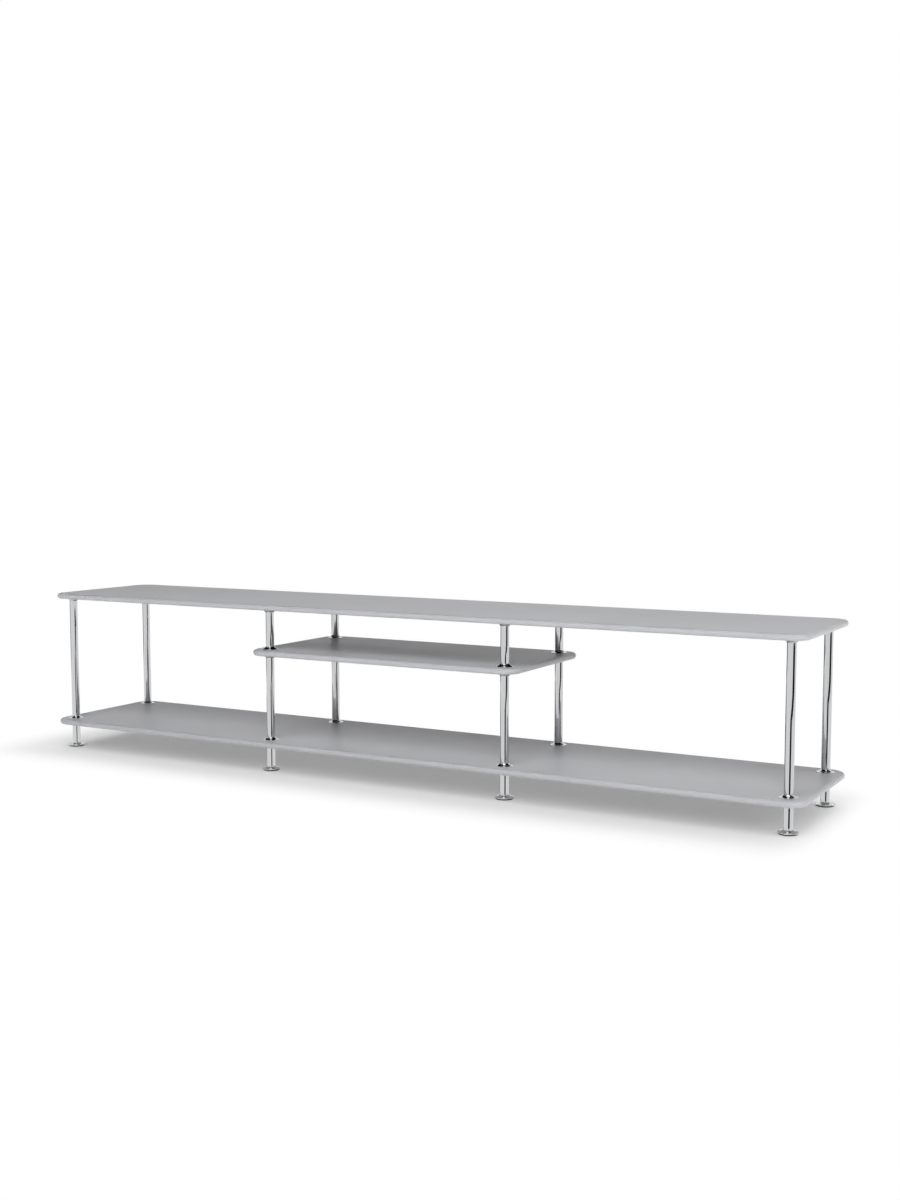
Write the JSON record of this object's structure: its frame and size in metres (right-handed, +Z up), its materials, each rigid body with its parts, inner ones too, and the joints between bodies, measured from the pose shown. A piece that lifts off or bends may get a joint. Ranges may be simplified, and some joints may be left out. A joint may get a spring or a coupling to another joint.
{
  "type": "low open shelving unit",
  "caption": "Low, long open shelving bench with rounded lacquered boards, a short middle shelf and chromed tube posts with flared collars on screw-adjusted disc feet.",
  "frame": {"origin": "on the floor, under the middle of the bench", "axes": "+X along the bench to the right as seen from the front, +Y from front to back, +Z up"},
  "size_m": [2.035, 0.37, 0.415],
  "materials": {
    "board_lacquer": "satin grey lacquer on fibreboard",
    "chrome": "polished chrome plate",
    "plated_steel": "zinc-plated steel",
    "glide_plastic": "moulded dark nylon"
  },
  "bodies": {
    "frame": {"bottom_board": "board_lacquer", "middle_shelf": "board_lacquer", "top_board": "board_lacquer", "left_front_leg": "chrome", "left_back_leg": "chrome", "mid_left_front_leg": "chrome", "mid_left_back_leg": "chrome", "mid_right_front_leg": "chrome", "mid_right_back_leg": "chrome", "right_front_leg": "chrome", "right_back_leg": "chrome", "left_front_post": "chrome", "left_back_post": "chrome", "right_front_post": "chrome", "right_back_post": "chrome", "mid_left_front_lower_post": "chrome", "mid_left_front_upper_post": "chrome", "mid_left_back_lower_post": "chrome", "mid_left_back_upper_post": "chrome", "mid_right_front_lower_post": "chrome", "mid_right_front_upper_post": "chrome", "mid_right_back_lower_post": "chrome", "mid_right_back_upper_post": "chrome", "leg_collars": "chrome", "bottom_collars": "chrome", "shelf_lower_collars": "chrome", "shelf_upper_collars": "chrome", "top_collars": "chrome", "foot_plugs": "plated_steel", "leg_plugs": "plated_steel", "post_base_plugs": "plated_steel", "shelf_lower_plugs": "plated_steel", "shelf_upper_plugs": "plated_steel", "post_head_plugs": "plated_steel", "bottom_studs": "plated_steel", "shelf_studs": "plated_steel", "top_studs": "plated_steel", "top_inserts": "plated_steel"},
    "left_front_glide": {"left_front_glide": "glide_plastic"},
    "left_front_foot": {"left_front_foot": "chrome"},
    "left_back_glide": {"left_back_glide": "glide_plastic"},
    "left_back_foot": {"left_back_foot": "chrome"},
    "mid_left_front_glide": {"mid_left_front_glide": "glide_plastic"},
    "mid_left_front_foot": {"mid_left_front_foot": "chrome"},
    "mid_left_back_glide": {"mid_left_back_glide": "glide_plastic"},
    "mid_left_back_foot": {"mid_left_back_foot": "chrome"},
    "mid_right_front_glide": {"mid_right_front_glide": "glide_plastic"},
    "mid_right_front_foot": {"mid_right_front_foot": "chrome"},
    "mid_right_back_glide": {"mid_right_back_glide": "glide_plastic"},
    "mid_right_back_foot": {"mid_right_back_foot": "chrome"},
    "right_front_glide": {"right_front_glide": "glide_plastic"},
    "right_front_foot": {"right_front_foot": "chrome"},
    "right_back_glide": {"right_back_glide": "glide_plastic"},
    "right_back_foot": {"right_back_foot": "chrome"}
  },
  "joints": [
    {"name": "left_front_lift", "type": "slide", "parent": "frame", "child": "left_front_glide", "axis": [0, 0, -1], "range_m": [0, 0.01]},
    {"name": "left_front_screw", "type": "hinge", "parent": "left_front_glide", "child": "left_front_foot", "pos_m": [-0.9765, -0.144, 0], "axis": [0, 0, -1], "range_deg": [0, 2880]},
    {"name": "left_back_lift", "type": "slide", "parent": "frame", "child": "left_back_glide", "axis": [0, 0, -1], "range_m": [0, 0.01]},
    {"name": "left_back_screw", "type": "hinge", "parent": "left_back_glide", "child": "left_back_foot", "pos_m": [-0.9765, 0.144, 0], "axis": [0, 0, -1], "range_deg": [0, 2880]},
    {"name": "mid_left_front_lift", "type": "slide", "parent": "frame", "child": "mid_left_front_glide", "axis": [0, 0, -1], "range_m": [0, 0.01]},
    {"name": "mid_left_front_screw", "type": "hinge", "parent": "mid_left_front_glide", "child": "mid_left_front_foot", "pos_m": [-0.3255, -0.144, 0], "axis": [0, 0, -1], "range_deg": [0, 2880]},
    {"name": "mid_left_back_lift", "type": "slide", "parent": "frame", "child": "mid_left_back_glide", "axis": [0, 0, -1], "range_m": [0, 0.01]},
    {"name": "mid_left_back_screw", "type": "hinge", "parent": "mid_left_back_glide", "child": "mid_left_back_foot", "pos_m": [-0.3255, 0.144, 0], "axis": [0, 0, -1], "range_deg": [0, 2880]},
    {"name": "mid_right_front_lift", "type": "slide", "parent": "frame", "child": "mid_right_front_glide", "axis": [0, 0, -1], "range_m": [0, 0.01]},
    {"name": "mid_right_front_screw", "type": "hinge", "parent": "mid_right_front_glide", "child": "mid_right_front_foot", "pos_m": [0.3255, -0.144, 0], "axis": [0, 0, -1], "range_deg": [0, 2880]},
    {"name": "mid_right_back_lift", "type": "slide", "parent": "frame", "child": "mid_right_back_glide", "axis": [0, 0, -1], "range_m": [0, 0.01]},
    {"name": "mid_right_back_screw", "type": "hinge", "parent": "mid_right_back_glide", "child": "mid_right_back_foot", "pos_m": [0.3255, 0.144, 0], "axis": [0, 0, -1], "range_deg": [0, 2880]},
    {"name": "right_front_lift", "type": "slide", "parent": "frame", "child": "right_front_glide", "axis": [0, 0, -1], "range_m": [0, 0.01]},
    {"name": "right_front_screw", "type": "hinge", "parent": "right_front_glide", "child": "right_front_foot", "pos_m": [0.9765, -0.144, 0], "axis": [0, 0, -1], "range_deg": [0, 2880]},
    {"name": "right_back_lift", "type": "slide", "parent": "frame", "child": "right_back_glide", "axis": [0, 0, -1], "range_m": [0, 0.01]},
    {"name": "right_back_screw", "type": "hinge", "parent": "right_back_glide", "child": "right_back_foot", "pos_m": [0.9765, 0.144, 0], "axis": [0, 0, -1], "range_deg": [0, 2880]}
  ],
  "couplings": [
    {"joint": "left_front_lift", "follows": "left_front_screw", "m_per_rad": 0.00019894},
    {"joint": "left_back_lift", "follows": "left_back_screw", "m_per_rad": 0.00019894},
    {"joint": "mid_left_front_lift", "follows": "mid_left_front_screw", "m_per_rad": 0.00019894},
    {"joint": "mid_left_back_lift", "follows": "mid_left_back_screw", "m_per_rad": 0.00019894},
    {"joint": "mid_right_front_lift", "follows": "mid_right_front_screw", "m_per_rad": 0.00019894},
    {"joint": "mid_right_back_lift", "follows": "mid_right_back_screw", "m_per_rad": 0.00019894},
    {"joint": "right_front_lift", "follows": "right_front_screw", "m_per_rad": 0.00019894},
    {"joint": "right_back_lift", "follows": "right_back_screw", "m_per_rad": 0.00019894}
  ]
}
